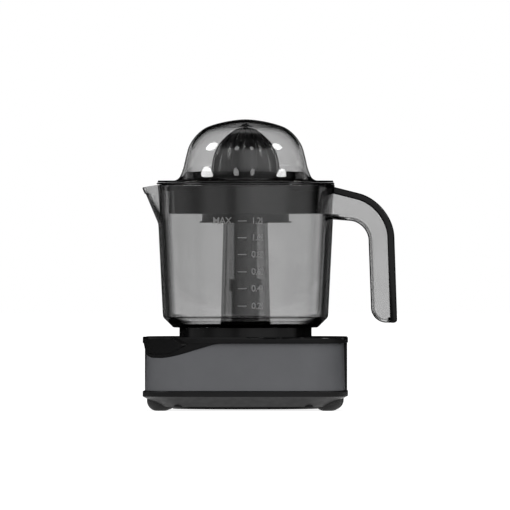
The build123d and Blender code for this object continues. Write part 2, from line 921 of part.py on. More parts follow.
def press_switch():
    half = switch_width / 2
    case = box((switch_x, switch_x + switch_length), (-half, half), (switch_z, switch_top))
    x, z = lever_pivot
    ear = box((x - switch_ear, x + switch_ear), (half - 1, half), (switch_top - fit, z + switch_ear_rise))
    case += ear + mirror(ear, Plane.XZ)
    return case - Pos(x, 0, z) * Rot(90, 0, 0) * Cylinder(lever_pin + run, switch_width + 2)


def switch_lever():
    x, z = lever_pivot
    turn = Pos(x, 0, z) * Rot(90, 0, 0)
    barrel = turn * Cylinder(lever_barrel, switch_width - 2 - 2 * gap)
    pin = turn * Cylinder(lever_pin, switch_width)
    tip = (lever_tip_x, finger_z - gap - lever_wall)
    blade = Polyline((x, z), tip, (tip[0], tip[1] + lever_wall), (x, z + lever_wall), close=True)
    blade = extrude(Plane.XZ * make_face(blade), lever_half, both=True)
    return barrel + pin + blade


# Jug and handle

def jug_body(inset):
    """Outside of the jug, drawn in by inset and filled."""
    foot = jug_under - jug_foot_lip if inset == 0 else jug_under + jug_floor
    rim = jug_rim_z if inset == 0 else jug_rim_z + 1
    draw = inset * chamfer_draw
    points = [
        (0, foot), (jug_foot_radius - draw, foot), (jug_waist_radius - inset, jug_waist_z + draw),
        (jug_rim_radius - inset, rim), (0, rim),
    ]
    return turned(points, [0, jug_foot_round, jug_waist_round, jug_rim_round, 0])


def spout_body(inset, top):
    """Pouring lip, drawn in by inset and filled."""
    def section(tip, root, end, height):
        nose = spout_nose[end]
        cheek = spout_cheek[end]
        rounds = [Pos(-tip + nose, 0) * Circle(nose - inset), Pos(-root, 0) * Circle(cheek - inset)]
        return Pos(0, 0, height) * make_hull([edge for r in rounds for edge in r.edges()])

    rise = (spout_foot - jug_waist_z) / (jug_rim_z - jug_waist_z)
    wall_foot = jug_waist_radius + (jug_rim_radius - jug_waist_radius) * rise
    low = section(wall_foot + spout_out, wall_foot - spout_root[0], 0, spout_foot)
    high = section(spout_tip, jug_rim_radius - spout_root[1], 1, top)
    return loft([low, high], ruled=True)


def jug():
    shell = jug_body(0) + spout_body(0, spout_top)
    shell -= jug_body(jug_wall)
    shell -= spout_body(spout_wall, spout_top + 0.1)
    shell -= rod(jug_foot_radius - jug_foot_ring, 0, jug_under)
    column = turned([
        (column_foot_radius, jug_under), (column_top_radius, column_top),
        (column_top_radius - column_wall, column_top), (column_foot_radius - column_wall, jug_under),
    ])
    shell -= rod(column_foot_radius - column_wall / 2, 0, jug_under + jug_floor + 1)
    return shell + column


def handle_path():
    """Middle line of the outer strip."""
    x = handle_reach - strip_wall / 2
    root = (jug_rim_radius - handle_root, handle_top_z)
    return FilletPolyline(root, (x - handle_lean, handle_bend_z), (x, handle_foot), radius=handle_bend)


def handle_side():
    """Side view of the handle, out to the middle of the strip."""
    x = handle_reach - strip_wall / 2
    root = jug_rim_radius - handle_root
    points = [
        (root, grip_top_z), grip_bend_at, (grip_foot_x, handle_foot), (x, handle_foot),
        (x - handle_lean, handle_bend_z), (root, handle_top_z),
    ]
    rounds = [0, grip_bend, grip_foot_bend, 0, handle_bend, 0]
    return make_face(FilletPolyline(*points, radius=rounds, close=True))


def handle_shell():
    side = Plane.XZ * (handle_side() - trace(handle_path(), strip_wall))
    grip = extrude(side, handle_width / 2, both=True)
    rounded = [e for f in grip.faces().filter_by(Axis.Y) for e in f.edges() if on_grip(e)]
    grip = fillet(rounded, handle_round)
    pocket = Plane.XZ * offset(handle_side(), -handle_wall)
    grip -= extrude(pocket, handle_width / 2 - handle_wall, both=True)
    return grip - jug_body(0)


def on_grip(edge):
    """True for the edges on the finger side of the handle."""
    middle = edge @ 0.5
    return jug_rim_radius < middle.X < grip_edge[0] and middle.Z < grip_edge[1]


def handle_strip():
    strip = extrude(Plane.XZ * trace(handle_path(), strip_wall), handle_width / 2, both=True)
    strip = fillet([e for f in strip.faces().filter_by(Axis.Y) for e in f.edges()], strip_round)
    return strip - jug_body(0)


# Tray, basket and cover

def juice_tray():
    collar_in = collar_foot_radius - tray_wall
    outer = jug_rim_radius - jug_wall - 2 * gap
    step = jug_rim_z - tray_step
    lip_top = outlet_foot + outlet_lip_wall
    outlet_in = outlet_radius - outlet_wall
    floor = collar_foot + tray_wall
    tray = turned([
        (outer, step), (outer, jug_rim_z),
        (tray_flange_radius, jug_rim_z), (tray_flange_radius, tray_flange_top),
        (collar_top_radius, tray_flange_top), (collar_top_radius, ledge_z),
        (collar_top_radius - ledge_width, ledge_z), (collar_in, floor), (outlet_in, floor),
        (outlet_in, outlet_foot), (outlet_radius + outlet_lip, outlet_foot),
        (outlet_radius + outlet_lip, lip_top), (outlet_radius, lip_top),
        (outlet_radius, collar_foot), (collar_foot_radius, collar_foot), (collar_top_radius, step),
    ], [tray_round if i in (3, 7, 14) else 0 for i in range(16)])
    skirt = tube(outer - skirt_wall, outer, skirt_foot, step + fit)
    wide = skirt_cut_half + skirt_cut_slope
    low = skirt_foot - 1
    corners = [(-wide, low), (wide, low), (skirt_cut_half, skirt_cut_top), (-skirt_cut_half, skirt_cut_top)]
    cut = Polyline(*corners, close=True)
    skirt -= extrude(Plane.XZ.offset(collar_foot_radius / 2) * make_face(cut), big)
    skirt -= box((-big, 0), (-skirt_spout_half, skirt_spout_half), (low, skirt_cut_top))
    return tray + skirt


def strainer_basket():
    plate_top = tray_flange_top
    plate_out = collar_top_radius - gap
    plate_under = ledge_z + cover_lift_gap
    inside = basket_radius - basket_wall
    throat_in = throat_radius - basket_wall
    floor = basket_floor + basket_wall
    funnel = turned([
        (plate_out, plate_under), (plate_out, plate_top), (basket_radius, plate_top),
        (basket_radius, basket_top), (inside, basket_top), (inside, plate_top + funnel_rise),
        (throat_in, throat_top), (throat_in, floor), (column_top_radius, floor),
        (column_top_radius, basket_floor), (throat_radius, basket_floor), (throat_radius, throat_top),
        (inside, plate_under),
    ], [basket_round if i in (1, 3, 4) else 0 for i in range(13)])
    hub = turned([
        (hub_in, basket_floor), (hub_in + hub_wall, basket_floor), (hub_in + hub_wall, hub_top),
        (chimney_radius + chimney_wall, hub_top), (chimney_radius + chimney_wall, chimney_top),
        (chimney_radius, chimney_top), (chimney_radius, hub_top - hub_wall), (hub_in, hub_top - hub_wall),
    ])
    basket = funnel - rod(hub_in, 0, hub_top) + hub
    slot = box((slot_in, slot_out), (-slot_width / 2, slot_width / 2), (0, throat_top))
    for cut in around(slot_count, slot):
        basket -= cut
    key = key_width / 2 + run
    key_foot = stem_bush_foot - press_travel - gap
    return basket - box((-key, key), (0, chimney_radius + key_depth + run), (key_foot, big))


def cover_section(drop):
    """Filled half section of the dome, drawn in by drop, and its shoulder and foot corners."""
    low = tray_flange_top + cover_lift_gap
    lip = low + cover_lip
    crown = cover_crown - drop
    foot = cover_foot_radius - drop * sqrt(1 + cover_lean**2)
    centre = lip - cover_top + cover_crown
    half = centre - foot * cover_lean
    square = 1 + cover_lean**2
    rise = (sqrt(half**2 - square * (foot**2 + centre**2 - crown**2)) - half) / square
    shoulder = (foot - cover_lean * rise, lip + rise)
    middle = crown * sin(acos(1 - (cover_top - drop - shoulder[1]) / crown) / 2)
    top = (0, cover_top - drop)
    across = (middle, cover_top - drop - crown + sqrt(crown**2 - middle**2))
    arc = ThreePointArc(top, across, shoulder)
    if drop:
        below = (foot + cover_lean * (cover_lip + 2), low - 2)
        edges = [Line(shoulder, below), Line(below, (0, below[1])), Line((0, below[1]), top)]
    else:
        rim = cover_flange_radius
        edges = [
            Line(shoulder, (foot, lip)), Line((foot, lip), (rim, lip)), Line((rim, lip), (rim, low)),
            Line((rim, low), (0, low)), Line((0, low), top),
        ]
    face = make_face([arc] + edges)
    rounds = {shoulder: cover_shoulder - drop}
    if not drop:
        rounds[(foot, lip)] = cover_flare
        rounds[(cover_flange_radius, lip)] = cover_lip_round
    for corner, radius in rounds.items():
        face = fillet(face.vertices().sort_by_distance(corner)[0], radius)
    return face


def dust_cover():
    solids = [revolve(Plane.XZ * cover_section(drop), Axis.Z) for drop in (0, cover_wall)]
    return solids[0] - solids[1]


# Stem and cone

def drive_stem():
    stem = turned([
        (tower_radius + 2 * gap, collar_z), (collar_radius, collar_z), (collar_radius, collar_top),
        (stem_radius, collar_top), (stem_radius, stem_top), (stem_bore, stem_top), (stem_bore, stem_bore_z),
        (0, stem_bore_z), (0, collar_roof), (tower_radius + 2 * gap, collar_roof),
    ], [collar_round if i in (1, 2) else 0 for i in range(10)])
    across = hex_across / 2 + gap / 2
    socket = Pos(0, 0, collar_roof - 1) * RegularPolygon(across, 6, major_radius=False)
    stem -= extrude(socket, socket_top - collar_roof + 1)
    for side in (-1, 1):
        stem -= box(sorted((side * flat_half, side * big)), (-big, big), (flat_z, big))
    groove = stem_bush_foot - gap - clip_wall
    return stem - tube(stem_radius - stem_groove, stem_radius + 1, groove, groove + clip_wall)


def stem_clip():
    low = stem_bush_foot - gap - clip_wall + fit
    ring = tube(stem_radius - stem_groove + fit, stem_radius + stem_clip_ear, low, low + clip_wall - 2 * fit)
    return ring - box((0, big), (-stem_clip_mouth / 2, stem_clip_mouth / 2), (0, big))


def stem_bush():
    inner = stem_radius + run
    outer = inner + stem_bush_wall
    bush = tube(inner, outer, stem_bush_foot, stem_bush_top)
    bush += tube(inner, stem_bush_lip_radius, stem_bush_top, stem_bush_top + stem_bush_lip)
    middle = inner + stem_bush_wall / 2
    key = box((-key_width / 2, key_width / 2), (middle, outer + key_depth), (stem_bush_foot, stem_bush_top))
    return bush + key


def cone_solid(grow, drop=0):
    """Pointed cone, grown outwards at its foot and lowered at its tip, filled."""
    radius = cone_radius - rib_height + grow
    tip = cone_tip - drop
    rise = tip - cone_foot
    foot, flank, shoulder, crown = [(radius * x, cone_foot + rise * z) for x, z in cone_flank]
    side = [
        Spline(foot, flank, shoulder, crown, (0, tip)),
        Line((0, tip), (0, cone_foot)),
        Line((0, cone_foot), foot),
    ]
    return revolve(Plane.XZ * make_face(side), Axis.Z)


def reamer_cone():
    blade = box((rib_start, big), (-rib_width / 2, rib_width / 2), (0, big)) & cone_solid(rib_height)
    cone = cone_solid(0) + around(rib_count, blade)
    cone -= Pos(0, 0, -fit) * cone_solid(-cone_wall, cone_wall)
    hub = rod(stem_radius + fit + cone_hub_wall, stem_bush_top + stem_bush_lip + gap, cone_tip)
    cone += hub & cone_solid(-cone_wall / 2, cone_wall / 2)
    bore = rod(stem_radius + fit, 0, stem_top + fit)
    for side in (-1, 1):
        bore -= box(sorted((side * (flat_half + fit), side * big)), (-big, big), (flat_z + gap, big))
    return cone - bore


pieces = {
    "bottom_cover": bottom_cover(),
    "rubber_feet": rubber_feet(),
    "housing_screws": housing_screws(),
    "body_shell": body_shell(),
    "wrap_panel": wrap_panel(),
    "top_cover": top_cover(),
    "power_button": power_button(),
    "power_switch": power_switch(),
    "cord_gland": cord_gland(),
    "shaft_tower": shaft_tower(),
    "tower_bush": tower_bush(),
    "tower_seal": tower_seal(),
    "gear_plate": gear_plate(),
    "plate_bush": plate_bush(),
    "gear_plate_screws": gear_plate_screws(),
    "output_shaft": output_shaft(),
    "output_gear": output_gear(),
    "shaft_clip": shaft_clip(),
    "idler_gear": idler_gear(),
    "idler_pin": idler_pin(),
    "motor_laminations": motor_laminations(),
    "coil_bobbin": coil_bobbin(),
    "coil_winding": coil_winding(),
    "motor_bridges": motor_bridges(),
    "motor_bushes": motor_bushes(),
    "motor_screws": motor_screws(),
    "rotor_core": rotor_core(),
    "rotor_shaft": rotor_shaft(),
    "motor_pinion": motor_pinion(),
    "thrust_cup": thrust_cup(),
    "return_spring": return_spring(),
    "press_switch": press_switch(),
    "switch_lever": switch_lever(),
    "jug": jug(),
    "handle_shell": handle_shell(),
    "handle_strip": handle_strip(),
    "juice_tray": juice_tray(),
    "strainer_basket": strainer_basket(),
    "dust_cover": dust_cover(),
    "drive_stem": drive_stem(),
    "stem_clip": stem_clip(),
    "stem_bush": stem_bush(),
    "reamer_cone": reamer_cone(),
}

for name, piece in pieces.items():
    solids = piece if isinstance(piece, list) else [piece]
    placed = [to_frame * solid for part in solids for solid in part.solids()]
    export_step(placed[0] if len(placed) == 1 else Compound(children=placed), f"parts/{name}.step")
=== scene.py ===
from math import atan2, cos, hypot, pi, radians, sin, sqrt, tan

import bmesh
import bpy
from mathutils import Matrix, Vector


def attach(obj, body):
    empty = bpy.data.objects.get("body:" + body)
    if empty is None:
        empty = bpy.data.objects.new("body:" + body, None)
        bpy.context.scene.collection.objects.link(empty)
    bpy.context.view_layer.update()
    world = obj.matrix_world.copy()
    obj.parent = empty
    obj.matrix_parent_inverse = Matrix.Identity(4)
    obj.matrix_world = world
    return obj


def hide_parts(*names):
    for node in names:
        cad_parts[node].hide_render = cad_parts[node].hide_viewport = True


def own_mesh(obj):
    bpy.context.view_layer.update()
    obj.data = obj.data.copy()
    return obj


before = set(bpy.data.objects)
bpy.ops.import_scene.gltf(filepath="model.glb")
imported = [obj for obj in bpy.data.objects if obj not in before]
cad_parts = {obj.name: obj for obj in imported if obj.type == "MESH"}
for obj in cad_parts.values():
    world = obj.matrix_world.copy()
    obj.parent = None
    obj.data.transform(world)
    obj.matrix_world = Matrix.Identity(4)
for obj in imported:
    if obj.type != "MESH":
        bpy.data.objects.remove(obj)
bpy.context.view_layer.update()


# Underside: the bottom cover is one black moulding that closes the base from below, with a drawn-in
# taper and a low ring in the middle. Four rubber feet and four screws are set into it.

def noise_on(nt, scale, detail=3.0):
    """Noise on the piece's own coordinates, with scale in waves per metre."""
    place = nt.nodes.new("ShaderNodeTexCoord")
    noise = nt.nodes.new("ShaderNodeTexNoise")
    noise.inputs["Scale"].default_value = scale
    noise.inputs["Detail"].default_value = detail
    nt.links.new(place.outputs["Object"], noise.inputs["Vector"])
    return noise.outputs["Fac"]


def reach(nt, source, socket, **ends):
    """Maps a number onto a socket, between ends such as From_Min and To_Max."""
    span = nt.nodes.new("ShaderNodeMapRange")
    for end, value in ends.items():
        span.inputs[end.replace("_", " ")].default_value = value
    nt.links.new(source, span.inputs["Value"])
    nt.links.new(span.outputs["Result"], socket)
    return span


def drift(nt, source, socket, low, high):
    """A number that drifts between low and high with a noise."""
    reach(nt, source, socket, From_Min=0.3, From_Max=0.7, To_Min=low, To_Max=high)


def shade(nt, source, socket, first, last, span=(0.3, 0.7)):
    """A colour that runs from the first to the last over a span of a pattern."""
    ramp = nt.nodes.new("ShaderNodeValToRGB")
    for stop, place, colour in zip(ramp.color_ramp.elements, span, (first, last)):
        stop.position = place
        stop.color = (*colour, 1)
    nt.links.new(source, ramp.inputs["Fac"])
    nt.links.new(ramp.outputs["Color"], socket)


def ripple(nt, source, skin, depth, strength=0.3):
    """Raises a pattern by depth metres on a finish."""
    bump = nt.nodes.new("ShaderNodeBump")
    bump.inputs["Strength"].default_value = strength
    bump.inputs["Distance"].default_value = depth
    nt.links.new(source, bump.inputs["Height"])
    nt.links.new(bump.outputs["Normal"], skin.inputs["Normal"])


def new_finish(name):
    """Empty finish with its node tree and shader."""
    finish = bpy.data.materials.new(name)
    finish.use_nodes = True
    return finish, finish.node_tree, finish.node_tree.nodes["Principled BSDF"]


def moulded(name, colour, rough=None, grain=2500, depth=0.00004, tone=0.12, shine=0.5):
    """Moulded plastic: the colour drifts a little, and a fine grain breaks up the gloss."""
    finish, nt, skin = new_finish(name)
    skin.inputs["Specular IOR Level"].default_value = shine
    darker, paler = [c * (1 - tone) for c in colour], [c * (1 + tone) for c in colour]
    shade(nt, noise_on(nt, 45), skin.inputs["Base Color"], darker, paler)
    if rough:
        drift(nt, noise_on(nt, 160), skin.inputs["Roughness"], rough * 0.88, rough * 1.15)
    ripple(nt, noise_on(nt, grain, 2), skin, depth)
    return finish


def dress(finish, *names):
    """Gives CAD nodes a finish."""
    for name in names:
        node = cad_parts[name]
        node.data.materials.clear()
        node.data.materials.append(finish)


satin_black = moulded("satin_black_plastic", (0.0075, 0.0075, 0.0078), 0.42, shine=0.22)
rubber = moulded("foot_rubber", (0.018, 0.018, 0.018), 0.75, grain=900, depth=0.0001)
dress(satin_black, "bottom_cover")
dress(rubber, "rubber_feet", "tower_seal")


# Motor and gears: a shaded-pole motor drives a nylon gear train under a steel plate. They sit inside
# the closed base, with the spring and switch that start the motor when the cone is pressed.

def metal(name, colour, rough, waves=0, along="X"):
    """Bare metal, drawn or turned, with fine marks along one axis where it has waves."""
    finish, nt, skin = new_finish(name)
    skin.inputs["Metallic"].default_value = 1.0
    if waves:
        band = nt.nodes.new("ShaderNodeTexWave")
        band.bands_direction = along
        band.inputs["Scale"].default_value = waves
        band.inputs["Distortion"].default_value = 0.4
        place = nt.nodes.new("ShaderNodeTexCoord")
        nt.links.new(place.outputs["Object"], band.inputs["Vector"])
        marks = band.outputs["Fac"]
        ripple(nt, marks, skin, 0.0001, 0.5)
    else:
        marks = noise_on(nt, 300)
    shade(nt, marks, skin.inputs["Base Color"], [c * 0.85 for c in colour], [c * 1.08 for c in colour])
    drift(nt, noise_on(nt, 220), skin.inputs["Roughness"], rough * 0.8, rough * 1.25)
    return finish


steel = metal("bright_steel", (0.55, 0.56, 0.57), 0.24)
black_zinc = metal("black_zinc_steel", (0.02, 0.02, 0.021), 0.4)
stacked_steel = metal("stacked_steel_sheet", (0.26, 0.26, 0.27), 0.45, waves=320, along="Z")
bronze = metal("sintered_bronze", (0.5, 0.33, 0.16), 0.4)
copper = metal("enamelled_copper_wire", (0.55, 0.2, 0.07), 0.3, waves=500)
nylon = moulded("white_nylon", (0.66, 0.65, 0.61), 0.5)
switch_black = moulded("switch_black_plastic", (0.03, 0.03, 0.032), 0.5)
dress(steel, "output_shaft", "shaft_clip", "idler_pin", "rotor_shaft", "return_spring", "gear_plate",
      "motor_bridges", "stem_clip", "switch_lever", "gear_plate_screws", "motor_screws")
dress(black_zinc, "housing_screws")
dress(stacked_steel, "motor_laminations", "rotor_core")
dress(bronze, "tower_bush", "plate_bush", "motor_bushes", "motor_pinion")
dress(copper, "coil_winding")
dress(nylon, "output_gear", "idler_gear", "coil_bobbin", "stem_bush", "thrust_cup")
dress(switch_black, "press_switch", "power_switch")

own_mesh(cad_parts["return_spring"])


# Housing: a black rear shell carries a grey painted panel that wraps round the front of the base.
# The panel tucks under the deck's lip, and the mains lead's gland is set in the back.

panel_grey = moulded("satin_grey_paint", (0.138, 0.141, 0.150), 0.42, grain=4000, depth=0.00002, tone=0.03)
dress(panel_grey, "wrap_panel")
dress(satin_black, "body_shell", "cord_gland")


# Deck: the black top cover with its round seat for the jug, and a lip that dips at the front left
# corner round the push button. Its sides are satin up to the edge, and everything above is polished.

polish_from, polish_to = 0.0605, 0.0615
piano_black = (0.0055, 0.0055, 0.0058)
deck_black = moulded("deck_black_plastic", piano_black, grain=1500, depth=0.00001, shine=0.22)
nt = deck_black.node_tree
place = nt.nodes.new("ShaderNodeTexCoord")
parts = nt.nodes.new("ShaderNodeSeparateXYZ")
nt.links.new(place.outputs["Object"], parts.inputs["Vector"])
reach(nt, parts.outputs["Z"], nt.nodes["Principled BSDF"].inputs["Roughness"],
      From_Min=polish_from, From_Max=polish_to, To_Min=0.5, To_Max=0.08)
dress(deck_black, "top_cover", "power_button")


# Tower: a fixed black tube that stands on the seat and carries the drive shaft up into the jug's
# column. The stem that turns on it and the strainer above are polished mouldings of the same black.

gloss_black = moulded("gloss_black_plastic", piano_black, 0.07, grain=1500, depth=0.000003)
dress(gloss_black, "shaft_tower", "drive_stem", "strainer_basket")


# Jug: smoked clear plastic, moulded in one with its hollow column and a pouring lip drawn out of the
# wall. It stands round the seat on a narrow ring. Sizes are in mm, from the drive axis and the floor.

mm = 0.001
axis_x = -20.55
long_run = 90
wall_foot = (70.2, 79.2)
wall_head = (75.8, 191.9)
wall_inside = 66
spout_reach = 11.9
spout_foot = 158.5
spout_height = 32.0
spout_half = radians(16.5)
spout_blunt = 0.06
lip_from = 186
lip_drop = 2.4


def rounded_wire(bm, spots, closed):
    """Line of edges through (place, radius) spots, with each corner rounded to its radius."""
    places = [place for place, radius in spots]
    verts = [bm.verts.new(place) for place in places]
    for a, b in zip(verts, verts[1:] + verts[:1] if closed else verts[1:]):
        bm.edges.new((a, b))
    for i, (place, radius) in enumerate(spots):
        if radius:
            after = places[(i + 1) % len(places)]
            turn = pi - (places[i - 1] - place).angle(after - place)
            step = radians(15 if radius < 1.2 * mm else 4 if radius < 10 * mm else 1.5)
            bmesh.ops.bevel(bm, geom=[verts[i]], offset=radius * tan(turn / 2), affect="VERTICES",
                            segments=max(2, round(turn / step)), profile=0.5, material=-1)


def turned(*outlines, steps, closed=True, cuts=0):
    """Shape turned about the drive axis from outlines of (radius, height, rounding) spots."""
    bm = bmesh.new()
    for spots in outlines:
        places = [(Vector(((axis_x + r) * mm, 0, z * mm)), radius * mm) for r, z, radius in spots]
        rounded_wire(bm, places, closed)
    if cuts:
        runs = [e for e in bm.edges if e.calc_length() > long_run * mm]
        bmesh.ops.subdivide_edges(bm, edges=runs, cuts=cuts)
    bmesh.ops.spin(bm, geom=bm.verts[:] + bm.edges[:], cent=(axis_x * mm, 0, 0), axis=(0, 0, 1),
                   angle=2 * pi, steps=steps, use_merge=True)
    return bm


def from_axis(place):
    """A place in mm, across and along from the drive axis and up from the floor."""
    return place.x / mm - axis_x, place.y / mm, place.z / mm


def to_place(x, y, z):
    """The place of such mm in the frame."""
    return (axis_x + x) * mm, y * mm, z * mm


def piece(name, bm, finish, body, slot, *stands_for, sharp=35):
    """Makes a mesh into a piece that rides on a body with a finish, in the place of CAD nodes. The slot
    argument is not used.
    """
    bmesh.ops.remove_doubles(bm, verts=bm.verts, dist=0.002 * mm)
    bmesh.ops.recalc_face_normals(bm, faces=bm.faces)
    mesh = bpy.data.meshes.new(name)
    bm.to_mesh(mesh)
    bm.free()
    mesh.shade_smooth()
    mesh.set_sharp_from_angle(angle=radians(sharp))
    mesh.materials.append(finish)
    obj = bpy.data.objects.new(name, mesh)
    bpy.context.collection.objects.link(obj)
    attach(obj, body)
    if stands_for:
        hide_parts(*stands_for)
    return obj


def smoked(name, tint, edge_shade_span):
    """Smoked clear plastic: tinted in its wall, with painted shade that darkens its colour where a face is
    seen edge on.
    """
    finish, nt, skin = new_finish(name)
    skin.inputs["Transmission Weight"].default_value = 1.0
    skin.inputs["IOR"].default_value = 1.5
    drift(nt, noise_on(nt, 90), skin.inputs["Roughness"], 0.0, 0.03)
    both = nt.nodes.new("ShaderNodeMix")
    both.data_type = "RGBA"
    both.blend_type = "MULTIPLY"
    both.inputs["Factor"].default_value = 1.0
    shade(nt, noise_on(nt, 30), both.inputs["A"], [tint * 0.97] * 3, [tint * 1.03] * 3)
    # Painted shade: the colour is multiplied down to near black where a face is seen edge on.
    edge = nt.nodes.new("ShaderNodeLayerWeight")
    edge.inputs["Blend"].default_value = 0.5
    shade(nt, edge.outputs["Facing"], both.inputs["B"], (1, 1, 1), (0.012, 0.012, 0.012), edge_shade_span)
    nt.links.new(both.outputs["Result"], skin.inputs["Base Color"])
    body = nt.nodes.new("ShaderNodeVolumeAbsorption")
    body.inputs["Color"].default_value = (0.0, 0.0, 0.02, 1)
    body.inputs["Density"].default_value = 6
    nt.links.new(body.outputs["Volume"], nt.nodes["Material Output"].inputs["Volume"])
    return finish


smoked_jug = smoked("smoked_clear_jug", 0.595, (0.5, 0.61))
jug = turned([
    (19.3, 71.5, 0), (57.2, 71.5, 0.2), (57.2, 70.4, 0.4), (61.3, 70.4, 1.5), (*wall_foot, 4.0),
    (*wall_head, 0.8), (73.2, 191.9, 0.8), (67.6, 80.24, 1.0), (61.9, 74.5, 0.8), (21.2, 74.5, 2.0),
    (18.6, 172.0, 0.7), (16.6, 172.0, 0.7),
], steps=240, cuts=44)
blunt = sqrt(spout_blunt)
for vert in jug.verts:
    x, y, z = from_axis(vert.co)
    rise = min(1.0, (z - spout_foot) / spout_height)
    side = abs(atan2(y, -x)) / spout_half
    if hypot(x, y) > wall_inside and rise > 0 and side < 1:
        fall = (hypot(side, blunt) - blunt) / (hypot(1, blunt) - blunt)
        drawn = rise * (1 - fall)
        scale = 1 + spout_reach * drawn / hypot(x, y)
        vert.co = to_place(x * scale, y * scale, z - lip_drop * drawn if z > lip_from else z)
piece("clear_jug", jug, smoked_jug, "jug", "smoky_clear", "jug")


# Graduations: a pale print on the jug's front, six strokes with their volumes and the word MAX. It is
# drawn flat and then wrapped round the wall.

print_grey = moulded("pale_print", (0.24, 0.24, 0.24), 0.5)
print_gap = 0.05
print_thick = 0.06
stroke_long, stroke_high = 7.4, 0.7
stroke_x, volume_x, max_x = -0.9, 6.8, -26.1
stroke_heights = (89.0, 103.8, 118.1, 132.7, 147.0, 161.2)


def on_wall(bm):
    """Wraps flat print, drawn in mm across and up, round the front of the jug's wall."""
    for vert in bm.verts:
        x, z, lift = vert.co
        climb = (z - wall_foot[1]) / (wall_head[1] - wall_foot[1])
        radius = wall_foot[0] + (wall_head[0] - wall_foot[0]) * climb + print_gap + lift
        vert.co = to_place(x, -sqrt(radius**2 - x**2), z)


def letter(bm, text, x, z, size):
    """Adds a line of text that starts at x, centred on a height."""
    curve = bpy.data.curves.new(text, "FONT")
    curve.body = text
    curve.size = size
    curve.extrude = print_thick / 2
    curve.offset = 0.07
    curve.space_character = 0.9
    curve.align_y = "CENTER"
    line = bpy.data.objects.new(text, curve)
    flat = bpy.data.meshes.new_from_object(line)
    flat.transform(Matrix.Translation((x, z, 0)))
    bm.from_mesh(flat)
    bpy.data.objects.remove(line)


marks = bmesh.new()
for step, height in enumerate(stroke_heights):
    size = Matrix.Diagonal((stroke_long, stroke_high, print_thick, 1))
    stroke = Matrix.Translation((stroke_x, height, 0)) @ size
    bar = bmesh.ops.create_cube(marks, size=1, matrix=stroke)["verts"]
    across = [e for v in bar for e in v.link_edges if abs(e.verts[0].co.x - e.verts[1].co.x) > 1]
    bmesh.ops.subdivide_edges(marks, edges=list(set(across)), cuts=5)
    letter(marks, f"{0.2 * (step + 1):.1f}l", volume_x, height, 7.6)
letter(marks, "MAX", max_x, stroke_heights[-1], 8.0)
on_wall(marks)
piece("graduations", marks, print_grey, "jug", "smoky_clear")


# Handle: a clear grip on the jug's wall, a channel that is open to the wall and along its back. A black
# strip closes the back. Both are drawn as side outlines of (x, height, rounding) spots.

handle_half = 12.5
root_x = 74.6
grip_round = 4.5
grip_wall = 1.8
flat_side = 1500
strip_round = 1.3


def side_cut(spots):
    """Solid of a side outline, as deep as the handle."""
    bm = bmesh.new()
    rounded_wire(bm, [(Vector(to_place(x, -handle_half, z)), r * mm) for x, z, r in spots], True)
    face = bmesh.ops.contextual_create(bm, geom=bm.edges[:])["faces"]
    grown = bmesh.ops.extrude_face_region(bm, geom=face)["geom"]
    far = [v for v in grown if isinstance(v, bmesh.types.BMVert)]
    bmesh.ops.translate(bm, verts=far, vec=(0, 2 * handle_half * mm, 0))
    bmesh.ops.recalc_face_normals(bm, faces=bm.faces)
    return bm


def round_over(bm, edges, radius, segments):
    """Rounds some edges."""
    bmesh.ops.bevel(bm, geom=edges, offset=radius * mm, segments=segments, profile=0.5,
                    affect="EDGES", material=-1)


def on_side(edge):
    """True for an edge of one of the two flat sides."""
    return abs(edge.verts[0].co.y - edge.verts[1].co.y) < 1e-6


def past_root(face):
    """True for a face that isn't the end against the jug."""
    return from_axis(face.calc_center_median())[0] > root_x + 0.1


smoked_grip = smoked("smoked_clear_grip", 0.635, (0.6, 0.85))
grip = side_cut([
    (root_x, 162.2, 0), (104.2, 159.9, 17), (107.3, 74.5, 13), (123.1, 74.5, 0), (119.8, 172.6, 34),
    (root_x, 184.1, 0),
])
inner = [e for e in grip.edges if on_side(e) and any(
    f.normal.x + f.normal.z < -0.5 and past_root(f) for f in e.link_faces)]
round_over(grip, inner, grip_round, 5)
sides = [f for f in grip.faces if f.calc_area() > flat_side * mm**2]
bmesh.ops.inset_individual(grip, faces=sides, thickness=0.4 * mm)
grip.normal_update()
covered = [f for f in grip.faces if f.normal.x + f.normal.z > 0.6 and f.normal.x > 0.1 or not past_root(f)]
bmesh.ops.delete(grip, geom=covered, context="FACES")
grip = piece("clear_grip", grip, smoked_grip, "jug", "smoky_clear", "handle_shell")
wall = grip.modifiers.new("wall", "SOLIDIFY")
wall.thickness = grip_wall * mm
wall.offset = -1

strip_black = moulded("strip_black_plastic", piano_black, 0.22, grain=1500, depth=0.000004, shine=0.22)
strip = side_cut([
    (root_x, 184.2, 0), (119.87, 172.67, 34.15), (123.2, 74.4, 1.0), (128.8, 74.45, 2.6),
    (125.43, 177.14, 39.85), (74.9, 189.9, 0),
])
round_over(strip, [e for e in strip.edges if on_side(e)], strip_round, 4)
piece("black_strip", strip, strip_black, "jug", "gloss_black", "handle_strip")


# Tray: a glossy black moulding that hangs in the jug's rim, with a deep collar and a matte outlet under
# it. A matte skirt guides it into the rim, and is cut short along the front and at the spout.

skirt_in = 69
skirt_top = 190.9
skirt_low = 187
skirt_cut = 3.4
front_half = 43
front_ramp = 5
spout_gap = 16
outlet_top = 167

